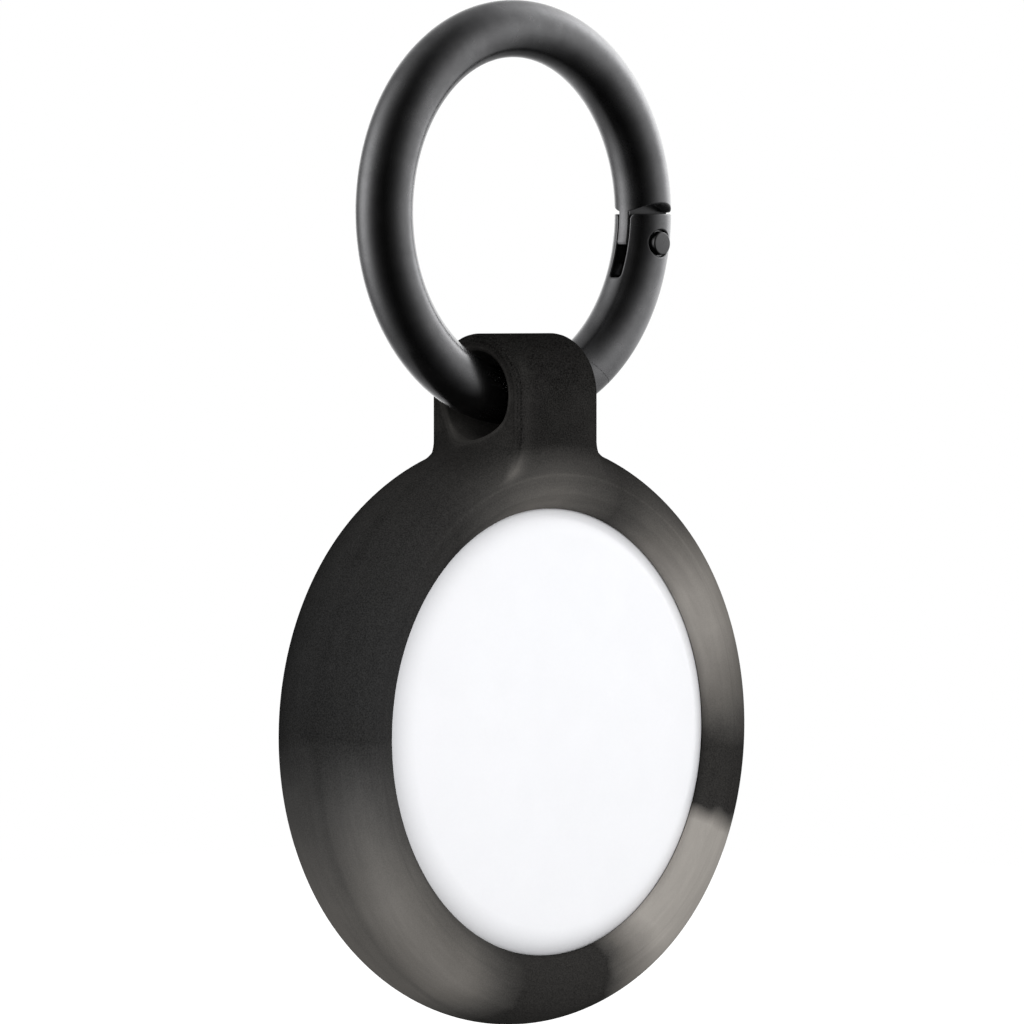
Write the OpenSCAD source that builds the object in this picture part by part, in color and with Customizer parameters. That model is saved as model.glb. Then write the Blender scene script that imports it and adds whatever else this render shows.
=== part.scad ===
// Holder for a round tracker tag, on a spring-gate ring.
// The origin is the point where the closed ring hangs: the top of its inside.
// +Z is up, -Y is the front, and the ring and the holder lie in the XZ plane.

/* [Ring] */
// Inside diameter of the closed ring
ring_inner_d = 19.52; // [17:0.02:26]
// Diameter of the ring's round wire
wire_d = 3.6; // [3.2:0.1:4.2]
// How far the wire's centre line hangs below the loop bore's axis
wire_sag = 0.08; // [0:0.01:0.3]

/* [Hinge] */
// Angle of the hinge pin below the ring's horizontal seam, in degrees
pin_angle = 9.5; // [9:0.5:12]
// Diameter of the hinge pin
pin_d = 1.46; // [1:0.02:1.7]
// How far each end of the pin stands out of the wire
pin_stand = 0.06; // [0:0.01:0.2]
// Running clearance of the pin in the tongue, on the radius
pin_play = 0.03; // [0.02:0.01:0.08]
// Width of the ring-shaped recess round each end of the pin
recess_w = 0.13; // [0.05:0.01:0.3]
// Depth of that recess below the wire's crown
recess_depth = 0.3; // [0.1:0.05:0.5]
// Thickness of the tongue between the gate's two cheeks
tongue_t = 0.68; // [0.4:0.02:0.8]
// Clearance on each side of the tongue
tongue_play = 0.135; // [0.05:0.005:0.25]
// Depth of the gate's slot, from the seam down
slot_depth = 3.85; // [3.7:0.05:4.2]
// Gap at the seams between the gate and the ring
seam_gap = 0.05; // [0.03:0.01:0.1]

/* [Gate nose] */
// Clearance between the swinging nose and the corner of the loop
nose_clear = 0.12; // [0.1:0.02:0.5]
// Distance from the wire's centre line outward to the lip
lip_start = 0.45; // [0.3:0.05:0.5]
// Length of the lip that the closed nose rests on
lip_l = 1.2; // [0.8:0.1:1.6]
// Thickness of that lip
lip_t = 1; // [0.6:0.1:1.4]
// Height of that lip, across the wire
lip_h = 0.9; // [0.5:0.1:1.1]
// Clearance round that lip
lip_play = 0.06; // [0.04:0.01:0.12]

/* [Gate spring] */
// Lean of the spring's bore from the vertical, in degrees
bore_lean = 25; // [23:1:28]
// Distance from the pin's axis to the tongue's flat heel
heel_reach = 1.45; // [1.3:0.05:1.6]
// Gap between the heel and the plunger
heel_gap = 0.05; // [0.03:0.01:0.1]
// Diameter of the plunger
plunger_d = 0.84; // [0.7:0.02:0.88]
// Length of the plunger
plunger_l = 2.1; // [1.6:0.1:2.5]
// Clearance of the plunger in its bore, on the radius
plunger_play = 0.03; // [0.02:0.01:0.06]
// Chamfer on the plunger's nose
plunger_chamfer = 0.15; // [0.05:0.01:0.2]
// Length of the spring at rest
spring_l = 2.6; // [2:0.1:3]
// Diameter of the spring's wire
spring_wire_d = 0.12; // [0.08:0.01:0.16]

/* [Holder] */
// Wall of the holder's rim outside the tag
rim_wall = 2.55; // [2.3:0.05:5]
// How far each flat land stands out past the tag's domes
land_rise = 0.1; // [0:0.05:0.5]
// Radius of the crown round the rim
rim_crown_r = 5.6; // [4.6:0.1:8]
// Radius between the crown and the flat land
rim_edge_r = 0.6; // [0.2:0.05:1]
// How far the window's lip covers the tag's edge
window_lap = 1.95; // [1.5:0.05:2.8]
// Depth of the bevel round the window
bevel_depth = 0.86; // [0.4:0.02:1.1]
// Width of the bevel round the window
bevel_w = 0.83; // [0.4:0.01:1]
// How far the lip leans outward below the bevel
lip_draft = 0.1; // [0:0.01:0.2]
// Distance of the fine groove on each land from the rim
groove_inset = 2.8; // [2.6:0.05:3]
// Width of the fine groove
groove_w = 0.14; // [0.08:0.01:0.3]
// Depth of the fine groove
groove_depth = 0.05; // [0.03:0.01:0.1]

/* [Loop] */
// Height of the loop's bore above the top of the rim
loop_rise = 2.6; // [2.4:0.1:8]
// Width of the loop
loop_w = 7.1; // [5:0.1:8]
// Wall of the loop over its bore
loop_wall = 1; // [0.8:0.05:1.6]
// Room for the ring's wire in the loop's bore
loop_play = 0.475; // [0.3:0.025:0.8]
// Radius on the loop's outer edges
loop_edge_r = 0.3; // [0.1:0.05:0.35]
// Radius on the mouths of the loop's bore
mouth_r = 0.4; // [0.1:0.05:0.45]
// Radius where the loop flares into the rim
flare_r = 2.2; // [1:0.1:3]

/* [Tracker tag shell] */
// Diameter of the tag
tag_d = 31.9; // [28:0.1:40]
// Thickness of the tag
tag_t = 8; // [7.6:0.1:8.2]
// Radius of the tag's nearly flat domes
tag_crown_r = 168; // [120:1:220]
// Radius of the shoulder round each dome
shoulder_r = 2.82; // [2.4:0.02:3]
// Distance of the shoulder's centre from the tag's edge
shoulder_inset = 3.83; // [3.6:0.01:4.1]
// Slope of the tag's edge from the flat, in degrees
edge_slope = 50; // [46:1:54]
// Clearance between the tag and the holder
tag_gap = 0.03; // [0.02:0.01:0.1]
// Wall of the tag's shell
shell_wall = 1; // [0.8:0.05:1.2]
// Distance of the steel battery cover's edge from the tag's edge
cover_inset = 3.35; // [3.25:0.05:3.5]
// Thickness of the battery cover
cover_t = 0.4; // [0.3:0.05:0.45]
// Gap round the battery cover
cover_gap = 0.15; // [0.1:0.01:0.2]

/* [Bayonet] */
// How far the ledge that holds the cover's lugs reaches in under the cover
ledge_lap = 1.25; // [1:0.05:1.3]
// Thickness of that ledge
ledge_t = 0.35; // [0.25:0.05:0.4]
// Width of the ledge's root in the shell's wall
ledge_root = 0.6; // [0.4:0.05:0.8]
// Gap between the cover and the ledge for the gasket
gasket_room = 0.25; // [0.2:0.01:0.35]
// Width of the gasket
gasket_w = 0.7; // [0.4:0.05:0.9]
// Running clearance in the bayonet
lug_play = 0.1; // [0.05:0.01:0.15]
// Wall of the collar that carries the lugs
collar_w = 0.7; // [0.5:0.05:0.8]
// Height of a lug
lug_h = 0.4; // [0.3:0.05:0.5]
// How far a lug reaches outward
lug_w = 0.85; // [0.6:0.05:1]
// Angle that a lug spans, in degrees
lug_span = 16; // [12:1:18]
// Extra angle of a notch at each end of its lug, in degrees
lug_margin = 1; // [0.5:0.5:2]
// Turn that brings the lugs to their notches, in degrees
twist_angle = 20; // [20:1:30]

/* [Coin cell] */
// Room round the coin cell inside the ledge
cell_room = 1.35; // [1.3:0.05:1.6]
// Thickness of the coin cell
cell_t = 3.2; // [2.8:0.1:3.2]
// Wall of the cell's can
can_wall = 0.3; // [0.2:0.05:0.4]
// Width of the sealing ring in the can
cell_seal_w = 0.5; // [0.3:0.05:0.8]
// Step of the negative cap above the can's edge
cell_step = 0.3; // [0.2:0.05:0.4]
// Step in the cap's own radius
cap_step = 0.6; // [0.4:0.05:0.8]
// Diameter of the foam pad behind the cell
pad_d = 12; // [8:0.5:16]
// Clearance between the pad and the cell
pad_gap = 0.05; // [0.03:0.01:0.1]

/* [Electronics] */
// Thickness of the tray's plate
tray_t = 0.6; // [0.4:0.05:0.7]
// Distance of the edge of the tray's plate from the tag's edge
tray_inset = 1.65; // [1.55:0.05:2]
// Distance of the tray's plate in front of the tag's middle
tray_f = 0.2; // [0.15:0.05:0.25]
// Clearance between the tray's pocket and the cell
pocket_gap = 0.3; // [0.2:0.05:0.35]
// Wall of the tray's pocket
pocket_wall = 0.5; // [0.4:0.05:0.6]
// Depth of the tray's pocket
pocket_depth = 1.75; // [1.2:0.05:1.85]
// Width of the raised rim that carries the antennas
rim_w = 0.55; // [0.4:0.05:0.6]
// Distance of the raised rim from the edge of the plate
rim_inset = 0.4; // [0.3:0.05:0.6]
// Thickness of the antenna strips
trace_t = 0.06; // [0.04:0.01:0.1]
// Room between the raised rim with its strips and the cap
trace_room = 0.1; // [0.05:0.01:0.2]
// Gap between the speaker's cup and the circuit board round it
board_gap = 0.4; // [0.3:0.05:1]
// Distance of the circuit board's edge from the edge of the tray's plate
board_inset = 1.2; // [1.1:0.05:1.8]
// Thickness of the circuit board
board_t = 0.6; // [0.4:0.05:0.8]
// Radius of the notches in the board's edge
notch_r = 0.8; // [0.4:0.05:1]
// Room between the screening cans and the cap
shield_room = 0.15; // [0.1:0.01:0.3]
// Sheet thickness of the screening cans
shield_t = 0.15; // [0.1:0.01:0.25]
// Side of the largest chip
chip_side = 2.8; // [2:0.1:3]
// Height of the largest chip
chip_h = 0.8; // [0.5:0.05:0.9]
// Length of a block capacitor
capacitor_l = 3.4; // [2.8:0.1:3.6]
// Height of a block capacitor
capacitor_h = 1; // [0.8:0.05:1.1]

/* [Speaker] */
// Diameter of the speaker's steel cup
yoke_d = 12; // [11.6:0.1:12.2]
// Sheet thickness of the cup
yoke_t = 0.3; // [0.2:0.05:0.4]
// Height of the cup
yoke_h = 1.6; // [1.2:0.05:1.7]
// Diameter of the magnet
magnet_d = 7.8; // [6:0.1:8]
// Height of the magnet
magnet_h = 1.4; // [1:0.05:1.5]
// Air gap between the magnet and the voice coil
coil_gap = 0.5; // [0.4:0.05:0.6]
// Wall of the voice coil
coil_wall = 0.7; // [0.4:0.05:0.75]
// Depth of the voice coil below the dome
coil_h = 1.4; // [1:0.05:1.45]

/* [Hidden] */

// Facets of the preview, and of the very large circles of the domes
$fn = 96;
dome_fn = 1440;
// How far every cut runs past the face that it cuts
overrun = 1;

// Ring, in its own plane: x to the right, y up, z to the front, centre at the ring's centre
wire_r = wire_d / 2;
ring_r = ring_inner_d / 2 + wire_r;
ring_outer_r = ring_r + wire_r;
ring_z = -ring_inner_d / 2;
pin_x = ring_r * cos(pin_angle);
pin_y = -ring_r * sin(pin_angle);
pin_hole_r = pin_d / 2 + pin_play;
slot_w = tongue_t + 2 * tongue_play;
shoulder_cut_r = norm([pin_x - ring_inner_d / 2, pin_y]) + seam_gap;

// Loop and disc
mouth_rise = ring_r - sqrt(pow(ring_r, 2) - pow(loop_w / 2, 2));
loop_bore_r = wire_r + mouth_rise + loop_play;
loop_arch_r = loop_bore_r + loop_wall;
bore_z = ring_z - ring_r + wire_sag;
tag_r = tag_d / 2;
disc_r = tag_r + rim_wall;
disc_t = tag_t + 2 * land_rise;
loop_h = disc_r + loop_rise;
disc_z = bore_z - loop_h;
window_r = tag_r - window_lap;
groove_r = disc_r - groove_inset;

// Gate nose: its end is an arc about the pin that just clears the loop's corner
corner_x = loop_w / 2 - loop_edge_r;
corner_y = wire_sag - ring_r + loop_arch_r - loop_edge_r;
nose_reach = norm([pin_x - corner_x, pin_y - corner_y]) - loop_edge_r - nose_clear;
lip_inner_r = ring_r + lip_start;

// Gate spring
bore_r = plunger_d / 2 + plunger_play;
plunger_top = heel_reach + heel_gap;
spring_top = plunger_top + plunger_l;
bore_end = spring_top + spring_l;
spring_turns = 7;
spring_r = bore_r - plunger_play - spring_wire_d / 2;

// Rim section: the crown's circle, and the small circle that rounds it into the land
crown_c = disc_r - rim_crown_r;
edge_f = disc_t / 2 - rim_edge_r;
edge_c = crown_c + sqrt(pow(rim_crown_r - rim_edge_r, 2) - pow(edge_f, 2));
crown_top_f = rim_crown_r * edge_f / (rim_crown_r - rim_edge_r);
function rim_at(f) = crown_c + sqrt(pow(rim_crown_r, 2) - pow(f, 2));
flare_slabs = 5;
// How far the flare's thin ends run into the rim
flare_sink = 0.05;

// Tag: the dome's circle and the shoulder's circle touch inside each other
dome_f = tag_t / 2 - tag_crown_r;
shoulder_x = tag_r - shoulder_inset;
shoulder_f = dome_f + sqrt(pow(tag_crown_r - shoulder_r, 2) - pow(shoulder_x, 2));
function shoulder_at(x) = shoulder_f + sqrt(pow(shoulder_r, 2) - pow(x - shoulder_x, 2));
// Height of the shell's inside under the dome, and further out, under the sloping edge
function dome_inside(x) = dome_f + sqrt(pow(tag_crown_r - shell_wall, 2) - pow(x, 2));
inner_shoulder_r = shoulder_r - shell_wall;
function slope_inside(x) = shoulder_f + inner_shoulder_r * cos(edge_slope)
  - (x - shoulder_x - inner_shoulder_r * sin(edge_slope)) * tan(edge_slope);

// Bayonet, as distances behind the tag's middle
cover_r = tag_r - cover_inset;
ledge_r = cover_r - ledge_lap;
cover_edge_g = dome_f + sqrt(pow(tag_crown_r - cover_t, 2) - pow(cover_r, 2));
ledge_back_g = cover_edge_g - gasket_room;
ledge_front_g = ledge_back_g - ledge_t;
lug_back_g = ledge_front_g - lug_play;
lug_front_g = lug_back_g - lug_h;
collar_r = ledge_r - lug_play;
lug_count = 3;

// Coin cell, as distances behind the tag's middle
cell_r = ledge_r - cell_room;
contact_t = 0.15;
cell_front_g = contact_t - tray_f;
cell_back_g = cell_front_g + cell_t;
can_front_g = cell_front_g + cell_step;
can_floor_g = cell_back_g - can_wall;
seal_outer_r = cell_r - can_wall;
seal_inner_r = seal_outer_r - cell_seal_w;
contact_l = 6;
contact_w = 1.4;
contact_span = 14;
contact_angles = [60, 240];

// Board and parts on it, as distances in front of the tag's middle
tray_top_f = tray_f + tray_t;
tray_r = tag_r - tray_inset;
rim_outer_r = tray_r - rim_inset;
trace_f = slope_inside(rim_outer_r) - trace_room - trace_t;
board_top_f = tray_top_f + board_t;
board_inner_r = yoke_d / 2 + board_gap;
board_outer_r = tray_r - board_inset;
board_mid_r = (board_inner_r + board_outer_r) / 2;
board_notches = 3;
shield_inner_r = board_inner_r + board_t;
shield_outer_r = board_outer_r - 2 * notch_r;
shield_top_f = dome_inside(shield_outer_r) - shield_room;
shield_angles = [20, 205];
shield_span = 50;
chip_angles = [272, 294, 315, 335, 354];
chip_shares = [1, 0.7, 0.85, 0.6, 0.75];
capacitor_angles = [100, 130, 160];
capacitor_w = 2;
trace_angles = [5, 125, 245];
trace_span = 100;
trace_inset = 0.1;

// A group drawn in the plane of the face at a height: x to the right, y up, z to the front
module facing(height) {
  translate([0, 0, height]) rotate([90, 0, 0]) children();
}

// The same for the tag's rear half: z to the back
module facing_back(height) {
  facing(height) rotate([180, 0, 0]) children();
}

// A flat shape in the ring's plane, as a plate centred on that plane
module ring_plate(thickness) {
  translate([0, 0, -thickness / 2]) linear_extrude(thickness) children();
}

// A place along the spring's bore: z is the distance from the pin's axis
module along_bore() {
  translate([pin_x, pin_y, 0]) rotate([0, 0, -bore_lean]) rotate([90, 0, 0]) children();
}

// A ring or disc about the z axis
module washer(inner_r, outer_r, low, high) {
  rotate_extrude() translate([inner_r, low]) square([outer_r - inner_r, high - low]);
}

// A part of such a ring, from one angle over a span
module washer_arc(inner_r, outer_r, low, high, start, span) {
  rotate([0, 0, start]) rotate_extrude(angle = span)
    translate([inner_r, low]) square([outer_r - inner_r, high - low]);
}

module closed_ring() {
  rotate_extrude() translate([ring_r, 0]) circle(wire_r);
}

// The lower right quarter of the ring's plane, raised by a gap
module lower_quarter(gap) {
  translate([0, gap - 2 * ring_outer_r]) square([2 * ring_outer_r, 2 * ring_outer_r]);
}

// The part of the ring's plane that the gate fills, grown by the gap at its seams
module gate_zone(gap) {
  intersection() {
    translate([pin_x, pin_y]) circle(nose_reach + gap);
    lower_quarter(gap);
  }
}

// The stretch at the nose where the lip lies, between two radii about the ring's centre
module lip_zone(inner_r, outer_r, grow) {
  intersection() {
    difference() {
      circle(outer_r);
      circle(inner_r - grow);
    }
    difference() {
      translate([pin_x, pin_y]) circle(nose_reach + overrun);
      translate([pin_x, pin_y]) circle(nose_reach - lip_l - grow);
    }
    lower_quarter(0);
  }
}

// The hinge tongue in the ring's plane: round about the pin, with a flat heel for the plunger
module tongue_outline() {
  difference() {
    union() {
      translate([pin_x, pin_y]) circle(wire_r);
      translate([pin_x - wire_d, pin_y]) square([2 * wire_d, shoulder_cut_r + seam_gap]);
    }
    translate([pin_x, pin_y]) rotate([0, 0, -bore_lean])
      translate([-wire_d, -heel_reach - wire_d]) square([2 * wire_d, wire_d]);
  }
}

module ring_body() {
  color([0.09, 0.09, 0.1]) facing(ring_z) {
    difference() {
      closed_ring();
      ring_plate(2 * wire_d) gate_zone(seam_gap);
      translate([pin_x, pin_y, -wire_d]) cylinder(r = shoulder_cut_r, h = 2 * wire_d);
    }
    difference() {
      intersection() {
        closed_ring();
        ring_plate(tongue_t) tongue_outline();
      }
      translate([pin_x, pin_y, -wire_d]) cylinder(r = pin_hole_r, h = 2 * wire_d);
    }
    intersection() {
      closed_ring();
      ring_plate(lip_t) lip_zone(lip_inner_r, lip_inner_r + lip_h, 0);
    }
  }
}

module ring_gate() {
  color([0.1, 0.1, 0.11]) facing(ring_z) difference() {
    intersection() {
      closed_ring();
      ring_plate(2 * wire_d) gate_zone(0);
    }
    // Slot between the two cheeks
    translate([pin_x - wire_d, -slot_depth, -slot_w / 2])
      cube([2 * wire_d, slot_depth + overrun, slot_w]);
    // Hole for the pin, and the recess round each of its ends
    translate([pin_x, pin_y, -wire_d]) cylinder(d = pin_d, h = 2 * wire_d);
    for (side = [0, 1]) mirror([0, 0, side])
      translate([pin_x, pin_y, wire_r - recess_depth])
        cylinder(r = pin_d / 2 + recess_w, h = recess_depth + overrun);
    // Blind bore for the plunger and its spring
    along_bore() translate([0, 0, heel_reach]) cylinder(r = bore_r, h = bore_end - heel_reach);
    // Room for the lip, open outward
    ring_plate(lip_t + 2 * lip_play) lip_zone(lip_inner_r, ring_outer_r + overrun, lip_play);
  }
}

module hinge_pin() {
  color([0.16, 0.16, 0.17]) facing(ring_z)
    translate([pin_x, pin_y, -wire_r - pin_stand]) cylinder(d = pin_d, h = wire_d + 2 * pin_stand);
}

// Compression spring: one wire swept along a helix, with its ends closed up flat
function spring_height(t) =
  let (run = spring_l - spring_wire_d, dead_share = 0.12)
  run * (t < dead_share ? t * spring_wire_d / run / dead_share
       : t > 1 - dead_share ? 1 - (1 - t) * spring_wire_d / run / dead_share
       : spring_wire_d / run + (t - dead_share) / (1 - 2 * dead_share) * (1 - 2 * spring_wire_d / run));

module gate_spring() {
  steps = 20 * spring_turns;
  sides = 8;
  points = [for (i = [0 : steps], j = [0 : sides - 1])
    let (turn = 360 * spring_turns * i / steps,
         round = 360 * j / sides,
         reach = spring_r + spring_wire_d / 2 * cos(round))
    [reach * cos(turn), reach * sin(turn),
     spring_wire_d / 2 + spring_height(i / steps) + spring_wire_d / 2 * sin(round)]];
  walls = [for (i = [0 : steps - 1], j = [0 : sides - 1], half = [0, 1])
    let (a = i * sides + j, b = i * sides + (j + 1) % sides)
    half == 0 ? [a, b, b + sides] : [a, b + sides, a + sides]];
  first = [for (j = [1 : sides - 2]) [0, j + 1, j]];
  last = [for (j = [1 : sides - 2]) [0, j, j + 1] + steps * sides * [1, 1, 1]];
  color([0.62, 0.63, 0.65]) facing(ring_z) along_bore() translate([0, 0, spring_top])
    polyhedron(points = points, faces = concat(walls, first, last));
}

module gate_plunger() {
  color([0.3, 0.3, 0.32]) facing(ring_z) along_bore() {
    translate([0, 0, plunger_top])
      cylinder(r1 = plunger_d / 2 - plunger_chamfer, r2 = plunger_d / 2, h = plunger_chamfer);
    translate([0, 0, plunger_top + plunger_chamfer])
      cylinder(d = plunger_d, h = plunger_l - plunger_chamfer);
  }
}

// Section of one half of the tag, grown by an amount
module tag_section(grow) {
  r = shoulder_r + grow;
  edge_r = tag_r + grow;
  foot_x = shoulder_x + r * sin(edge_slope);
  foot_f = shoulder_f + r * cos(edge_slope);
  edge_f = foot_f - (edge_r - foot_x) * tan(edge_slope);
  top_f = tag_t / 2 + grow;
  intersection() {
    union() {
      translate([shoulder_x, shoulder_f]) circle(r);
      polygon([[0, 0], [edge_r, 0], [edge_r, edge_f], [foot_x, foot_f],
               [shoulder_x, shoulder_f],
               [shoulder_x * (top_f - dome_f) / (shoulder_f - dome_f), top_f], [0, top_f]]);
    }
    translate([0, dome_f]) circle(tag_crown_r + grow, $fn = dome_fn);
    square([edge_r, top_f]);
  }
}

// Section of the rim: crown, rounded edges and flat lands, solid to the axis
module rim_section() {
  intersection() {
    translate([crown_c, 0]) circle(rim_crown_r);
    translate([crown_c, -crown_top_f]) square([rim_crown_r, 2 * crown_top_f]);
  }
  for (side = [-1, 1]) translate([edge_c, side * edge_f]) circle(rim_edge_r);
  translate([0, -disc_t / 2]) square([edge_c, disc_t]);
}

// Section of the window above the tag, with its lip and bevel, for one side
module window_section() {
  lip_f = shoulder_at(window_r);
  bevel_f = disc_t / 2 - bevel_depth;
  land_r = window_r + lip_draft + bevel_w;
  polygon([[0, 0], [window_r, 0], [window_r, lip_f], [window_r + lip_draft, bevel_f],
           [land_r, disc_t / 2], [land_r, disc_t], [0, disc_t]]);
}

module groove_section() {
  translate([groove_r, disc_t / 2])
    polygon([[-groove_w / 2, 0], [0, -groove_depth], [groove_w / 2, 0], [0, groove_depth]]);
}

// The loop's round head about the bore's axis, as a section with its axis upright
module loop_section() {
  inner_w = loop_w - 2 * loop_edge_r;
  translate([0, -loop_w / 2]) square([loop_arch_r - loop_edge_r, loop_w]);
  translate([0, -inner_w / 2]) square([loop_arch_r, inner_w]);
  for (side = [-1, 1])
    translate([loop_arch_r - loop_edge_r, side * inner_w / 2]) circle(loop_edge_r);
}

// The loop's bore with its rounded mouths, as a section with its axis upright
module loop_bore_section() {
  translate([0, -loop_w]) square([loop_bore_r, 2 * loop_w]);
  for (side = [0, 1]) mirror([0, side]) difference() {
    translate([0, loop_w / 2 - mouth_r]) square([loop_bore_r + mouth_r, mouth_r + overrun]);
    translate([loop_bore_r + mouth_r, loop_w / 2 - mouth_r]) circle(mouth_r);
  }
}

// The loop's post seen from above, with its rounded edges
module post_outline() {
  inner_w = loop_w - 2 * loop_edge_r;
  inner_t = 2 * (loop_arch_r - loop_edge_r);
  square([loop_w, inner_t], center = true);
  square([inner_w, 2 * loop_arch_r], center = true);
  for (x = [-1, 1], f = [-1, 1]) translate([x * inner_w / 2, f * inner_t / 2]) circle(loop_edge_r);
}

// The flare between the loop's sides and a rim of a given radius
module flare_outline(rim_r) {
  x = loop_w / 2 + flare_r;
  y = sqrt(pow(rim_r + flare_r, 2) - pow(x, 2));
  touch_share = rim_r / (rim_r + flare_r);
  for (side = [0, 1]) mirror([side, 0]) difference() {
    polygon([[0, y], [x, y], [x * touch_share, y * touch_share], [0, y * touch_share]]);
    translate([x, y]) circle(flare_r);
  }
}

module holder_body() {
  color([0.16, 0.155, 0.15]) facing(disc_z) difference() {
    union() {
      rotate_extrude() rim_section();
      translate([0, loop_h, 0]) rotate([0, 90, 0]) rotate_extrude(angle = 180) loop_section();
      translate([0, edge_c, 0]) rotate([-90, 0, 0]) linear_extrude(loop_h - edge_c) post_outline();
      // A core inside the head and the post, so that they are one solid
      translate([0, loop_h, 0]) cube([loop_w / 2, loop_wall, 2 * loop_bore_r + loop_wall], center = true);
      for (slab = [1 : flare_slabs]) {
        half_t = loop_arch_r * slab / flare_slabs;
        ring_plate(2 * half_t) flare_outline(rim_at(half_t) - flare_sink);
      }
    }
    translate([0, loop_h, 0]) rotate([0, 90, 0]) rotate_extrude() loop_bore_section();
    for (side = [0, 1]) mirror([0, 0, side]) rotate_extrude() {
      tag_section(tag_gap);
      window_section();
      groove_section();
    }
  }
}

module tag_cap() {
  color([0.95, 0.95, 0.96]) facing(disc_z) rotate_extrude() difference() {
    tag_section(0);
    tag_section(-shell_wall);
  }
}

// The notches in the ledge let the cover's lugs in at the end of the twist
module tag_base() {
  ledge_outer_r = cover_r + cover_gap + ledge_root;
  color([0.93, 0.93, 0.94]) facing_back(disc_z) difference() {
    rotate_extrude() {
      difference() {
        tag_section(0);
        tag_section(-shell_wall);
        square([cover_r + cover_gap, tag_t]);
      }
      translate([ledge_r, ledge_front_g]) square([ledge_outer_r - ledge_r, ledge_t]);
    }
    for (i = [0 : lug_count - 1])
      washer_arc(ledge_r - overrun, collar_r + lug_w + lug_play,
                 ledge_front_g - overrun, ledge_back_g + overrun,
                 360 * i / lug_count + twist_angle - lug_span / 2 - lug_margin,
                 lug_span + 2 * lug_margin);
  }
}

module battery_cover() {
  color([0.72, 0.73, 0.75]) facing_back(disc_z) rotate_extrude() difference() {
    intersection() {
      tag_section(0);
      square([cover_r, tag_t]);
    }
    translate([0, dome_f]) circle(tag_crown_r - cover_t, $fn = dome_fn);
  }
}

// What stands on the inside of the battery cover is cut to the cover's dome
module on_cover() {
  intersection() {
    children();
    translate([0, dome_f]) circle(tag_crown_r - cover_t, $fn = dome_fn);
  }
}

module cover_lugs() {
  color([0.85, 0.85, 0.86]) facing_back(disc_z) {
    rotate_extrude() on_cover()
      translate([collar_r - collar_w, lug_front_g]) square([collar_w, tag_t]);
    for (i = [0 : lug_count - 1])
      washer_arc(collar_r - collar_w / 2, collar_r + lug_w, lug_front_g, lug_back_g,
                 360 * i / lug_count - lug_span / 2, lug_span);
  }
}

module cover_pad() {
  pad_edge_g = dome_f + sqrt(pow(tag_crown_r - cover_t, 2) - pow(pad_d / 2, 2));
  color([0.2, 0.2, 0.21]) facing_back(disc_z)
    washer(0, pad_d / 2, cell_back_g + pad_gap, pad_edge_g);
}

module cover_gasket() {
  gasket_inner_r = ledge_r + lug_play + collar_w / 2;
  color([0.12, 0.12, 0.13]) facing_back(disc_z)
    washer(gasket_inner_r, gasket_inner_r + gasket_w,
           ledge_back_g, ledge_back_g + gasket_room - lug_play);
}

module cell_can() {
  color([0.78, 0.78, 0.8]) facing_back(disc_z) {
    washer(seal_outer_r, cell_r, can_front_g, cell_back_g);
    washer(0, seal_outer_r, can_floor_g, cell_back_g);
  }
}

module cell_gasket() {
  color([0.86, 0.86, 0.82]) facing_back(disc_z)
    washer(seal_inner_r, seal_outer_r, can_front_g, can_floor_g);
}

module cell_cap() {
  color([0.7, 0.7, 0.72]) facing_back(disc_z) {
    washer(0, seal_inner_r - cap_step, cell_front_g, can_front_g);
    washer(0, seal_inner_r, can_front_g, can_floor_g);
  }
}

module battery_contacts() {
  color([0.8, 0.68, 0.4]) facing_back(disc_z) {
    translate([-contact_l / 2, -contact_w / 2, -tray_f])
      cube([contact_l, contact_w, contact_t]);
    for (angle = contact_angles)
      washer_arc(cell_r, cell_r + pocket_gap, can_front_g, pocket_depth,
                 angle - contact_span / 2, contact_span);
  }
}

module antenna_frame() {
  pocket_r = cell_r + pocket_gap;
  color([0.25, 0.25, 0.27]) facing(disc_z) {
    washer(0, tray_r, tray_f, tray_top_f);
    washer(pocket_r, pocket_r + pocket_wall, -pocket_depth, tray_f);
    washer(rim_outer_r - rim_w, rim_outer_r, tray_top_f, trace_f);
  }
}

module antenna_traces() {
  color([0.83, 0.62, 0.35]) facing(disc_z) for (start = trace_angles)
    washer_arc(rim_outer_r - rim_w + trace_inset, rim_outer_r - trace_inset,
               trace_f, trace_f + trace_t, start, trace_span);
}

module circuit_board() {
  color([0.08, 0.28, 0.16]) facing(disc_z) difference() {
    washer(board_inner_r, board_outer_r, tray_top_f, board_top_f);
    for (i = [0 : board_notches - 1]) rotate([0, 0, 360 * i / board_notches])
      translate([board_outer_r, 0, tray_f]) cylinder(r = notch_r, h = tray_t + board_t + overrun);
  }
}

module radio_shield() {
  side_angle = asin(shield_t / shield_inner_r);
  color([0.75, 0.76, 0.78]) facing(disc_z) for (start = shield_angles) difference() {
    washer_arc(shield_inner_r, shield_outer_r, board_top_f, shield_top_f, start, shield_span);
    washer_arc(shield_inner_r + shield_t, shield_outer_r - shield_t,
               board_top_f - overrun, shield_top_f - shield_t,
               start + side_angle, shield_span - 2 * side_angle);
  }
}

module board_chips() {
  color([0.1, 0.1, 0.11]) facing(disc_z) for (i = [0 : len(chip_angles) - 1])
    rotate([0, 0, chip_angles[i]]) translate([board_mid_r, 0, board_top_f])
      translate([-chip_side * chip_shares[i] / 2, -chip_side * chip_shares[i] / 2, 0])
        cube([chip_side * chip_shares[i], chip_side * chip_shares[i], chip_h * chip_shares[i]]);
}

module board_capacitors() {
  color([0.75, 0.6, 0.3]) facing(disc_z) for (angle = capacitor_angles)
    rotate([0, 0, angle]) translate([board_mid_r - capacitor_l / 2, -capacitor_w / 2, board_top_f])
      cube([capacitor_l, capacitor_w, capacitor_h]);
}

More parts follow.
